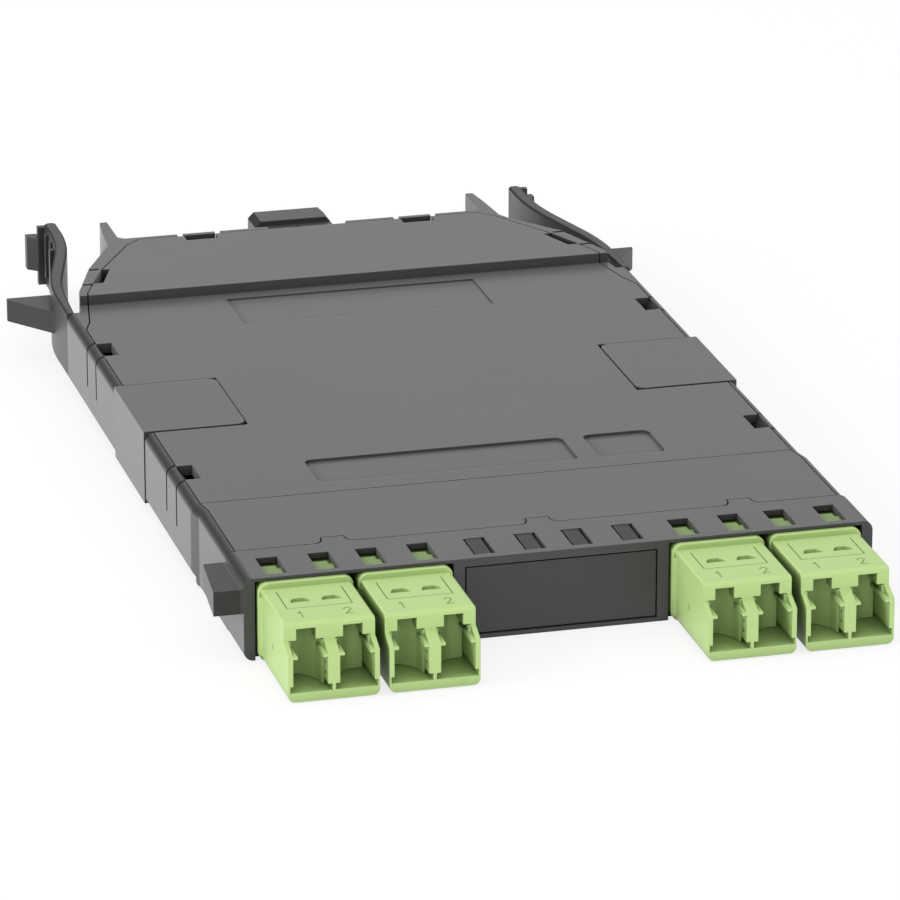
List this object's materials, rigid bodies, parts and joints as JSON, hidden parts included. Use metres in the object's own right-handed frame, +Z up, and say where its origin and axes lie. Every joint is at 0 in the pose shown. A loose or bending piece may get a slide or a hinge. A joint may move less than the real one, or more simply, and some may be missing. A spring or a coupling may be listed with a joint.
{
  "type": "fibre cassette",
  "caption": "Slim fibre-optic cassette: duplex adapters and a blank panel in a front frame, a rear multi-fibre adapter, a snapped-on cover and two squeeze latch arms.",
  "frame": {"origin": "on the underside, in the plane of the front frame's face, midway between the frame's two ends", "axes": "+X to the right seen from the front, +Y from the ports to the rear adapter, +Z up"},
  "size_m": [0.0975, 0.1745, 0.013],
  "materials": {
    "housing_plastic": "fine satin texture, moulded",
    "adapter_plastic": "smooth satin, lime green",
    "plug_plastic": "satin, off-white",
    "boot_rubber": "soft matt",
    "zirconia": "polished ceramic",
    "lead_jacket": "smooth jacket, aqua",
    "trunk_jacket": "smooth jacket, aqua",
    "black_plastic": "satin, black"
  },
  "bodies": {
    "housing": {"base_shell": "housing_plastic", "blank_panel": "housing_plastic", "boot_1": "boot_rubber", "boot_2": "boot_rubber", "boot_3": "boot_rubber", "boot_4": "boot_rubber", "boot_5": "boot_rubber", "boot_6": "boot_rubber", "boot_7": "boot_rubber", "boot_8": "boot_rubber", "ceramic_sleeve_1": "zirconia", "ceramic_sleeve_2": "zirconia", "ceramic_sleeve_3": "zirconia", "ceramic_sleeve_4": "zirconia", "ceramic_sleeve_5": "zirconia", "ceramic_sleeve_6": "zirconia", "ceramic_sleeve_7": "zirconia", "ceramic_sleeve_8": "zirconia", "duplex_adapter_1": "adapter_plastic", "duplex_adapter_2": "adapter_plastic", "duplex_adapter_3": "adapter_plastic", "duplex_adapter_4": "adapter_plastic", "fan_out_block": "black_plastic", "ferrule_1": "zirconia", "ferrule_2": "zirconia", "ferrule_3": "zirconia", "ferrule_4": "zirconia", "ferrule_5": "zirconia", "ferrule_6": "zirconia", "ferrule_7": "zirconia", "ferrule_8": "zirconia", "fibre_lead_1": "lead_jacket", "fibre_lead_2": "lead_jacket", "fibre_lead_3": "lead_jacket", "fibre_lead_4": "lead_jacket", "fibre_lead_5": "lead_jacket", "fibre_lead_6": "lead_jacket", "fibre_lead_7": "lead_jacket", "fibre_lead_8": "lead_jacket", "front_frame": "housing_plastic", "inner_multi_plug": "black_plastic", "inner_plug_1": "plug_plastic", "inner_plug_2": "plug_plastic", "inner_plug_3": "plug_plastic", "inner_plug_4": "plug_plastic", "inner_plug_5": "plug_plastic", "inner_plug_6": "plug_plastic", "inner_plug_7": "plug_plastic", "inner_plug_8": "plug_plastic", "left_edge_clip": "housing_plastic", "rear_adapter": "housing_plastic", "right_edge_clip": "housing_plastic", "top_cover": "housing_plastic", "trunk_cable": "trunk_jacket"},
    "left_latch": {"left_latch_arm": "housing_plastic"},
    "right_latch": {"right_latch_arm": "housing_plastic"}
  },
  "joints": [
    {"name": "left_arm_squeeze", "type": "hinge", "parent": "housing", "child": "left_latch", "pos_m": [-0.0431, 0.11315, 0.00575], "axis": [0, 0, -1], "range_deg": [0, 8], "stiffness_Nm_per_rad": 1.4},
    {"name": "right_arm_squeeze", "type": "hinge", "parent": "housing", "child": "right_latch", "pos_m": [0.0419, 0.11315, 0.00575], "axis": [0, 0, 1], "range_deg": [0, 8], "stiffness_Nm_per_rad": 1.4}
  ]
}
